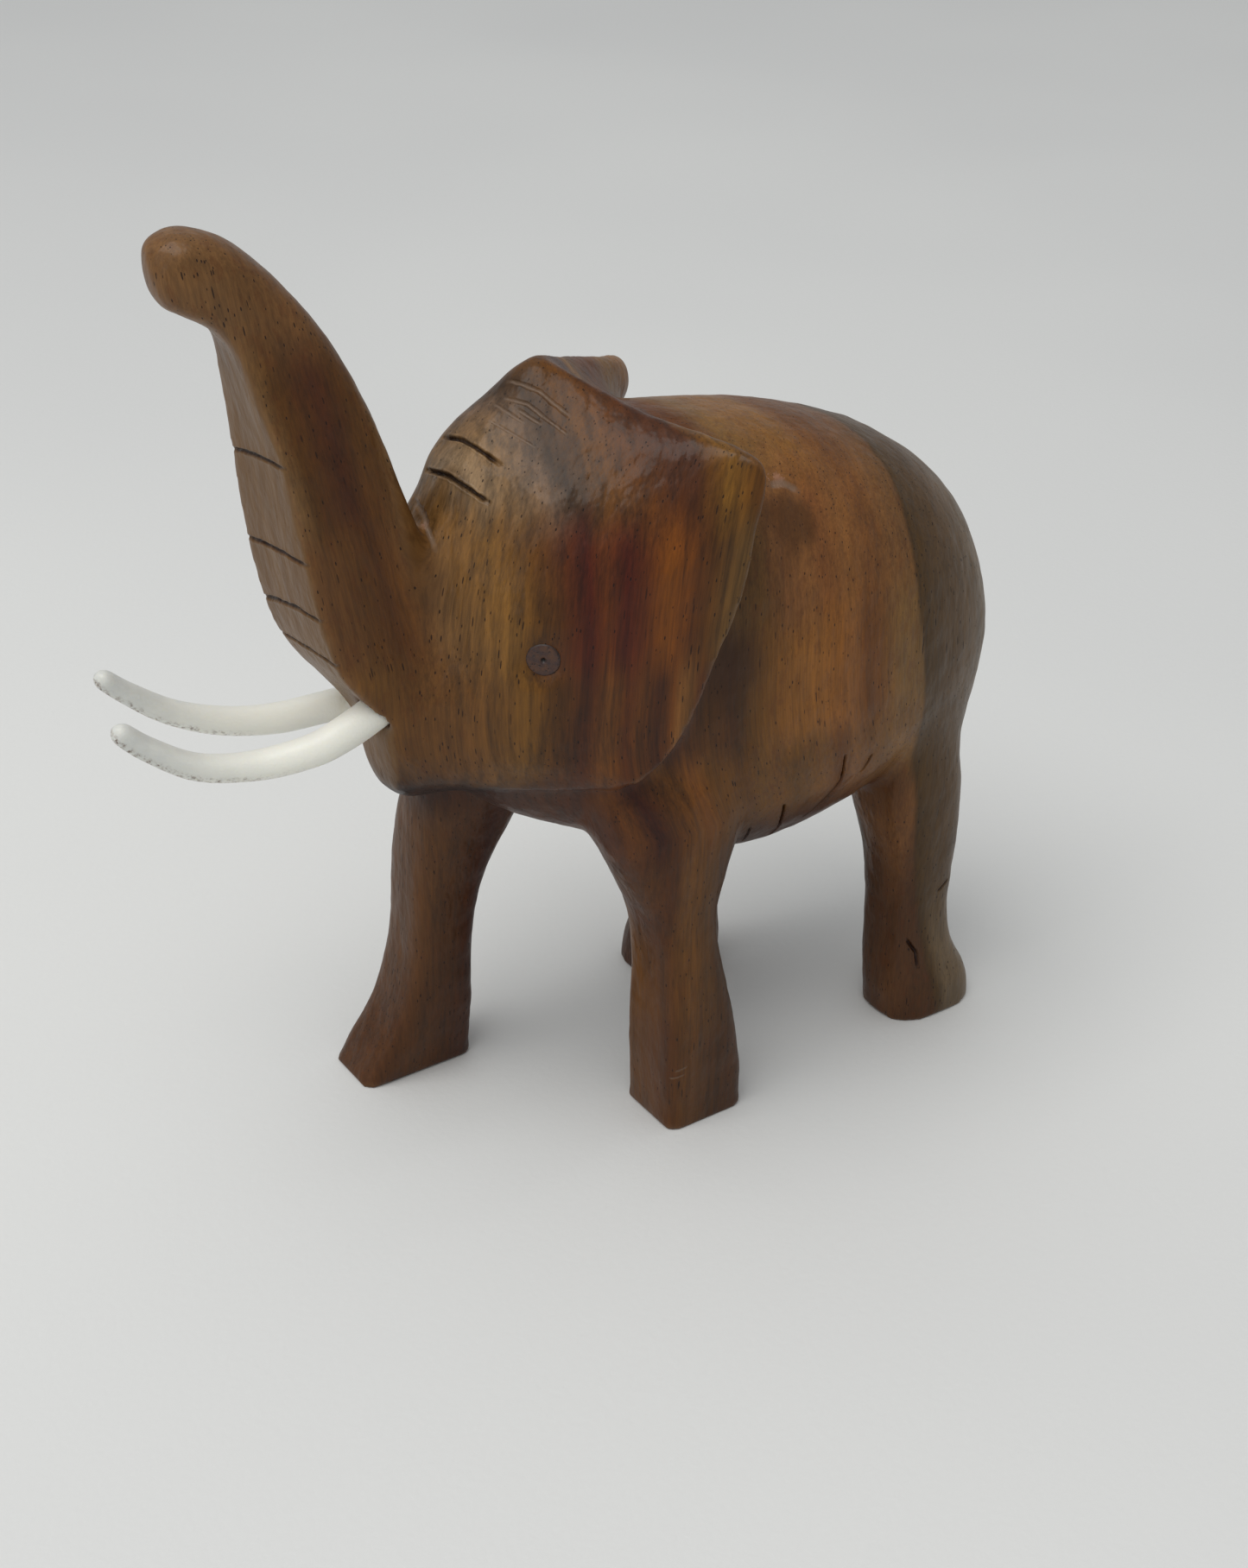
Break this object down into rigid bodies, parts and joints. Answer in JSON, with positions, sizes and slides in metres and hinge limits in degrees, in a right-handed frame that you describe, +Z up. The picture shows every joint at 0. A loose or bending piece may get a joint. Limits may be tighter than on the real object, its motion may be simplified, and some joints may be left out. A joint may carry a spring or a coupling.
{
  "type": "carved wooden elephant figurine",
  "caption": "Walking elephant carved from one block of streaked brown wood, trunk raised, with separate tapered white tusks and round inlaid eye plugs.",
  "frame": {"origin": "middle of the footprint box, on the surface the four feet stand on", "axes": "+X the way the body faces, +Y the elephant's left side, +Z up"},
  "size_m": [0.1294, 0.05, 0.1304],
  "materials": {
    "streaked_wood": "satin varnish over hand-carved wood, brown to orange with purple-brown streaks",
    "tusk_plastic": "smooth off-white, slightly translucent towards the tips",
    "eye_wood": "dark end grain under satin varnish"
  },
  "bodies": {
    "root": {"carved_body": "streaked_wood", "tusk_left": "tusk_plastic", "tusk_right": "tusk_plastic", "eye_left": "eye_wood", "eye_right": "eye_wood"}
  },
  "joints": []
}
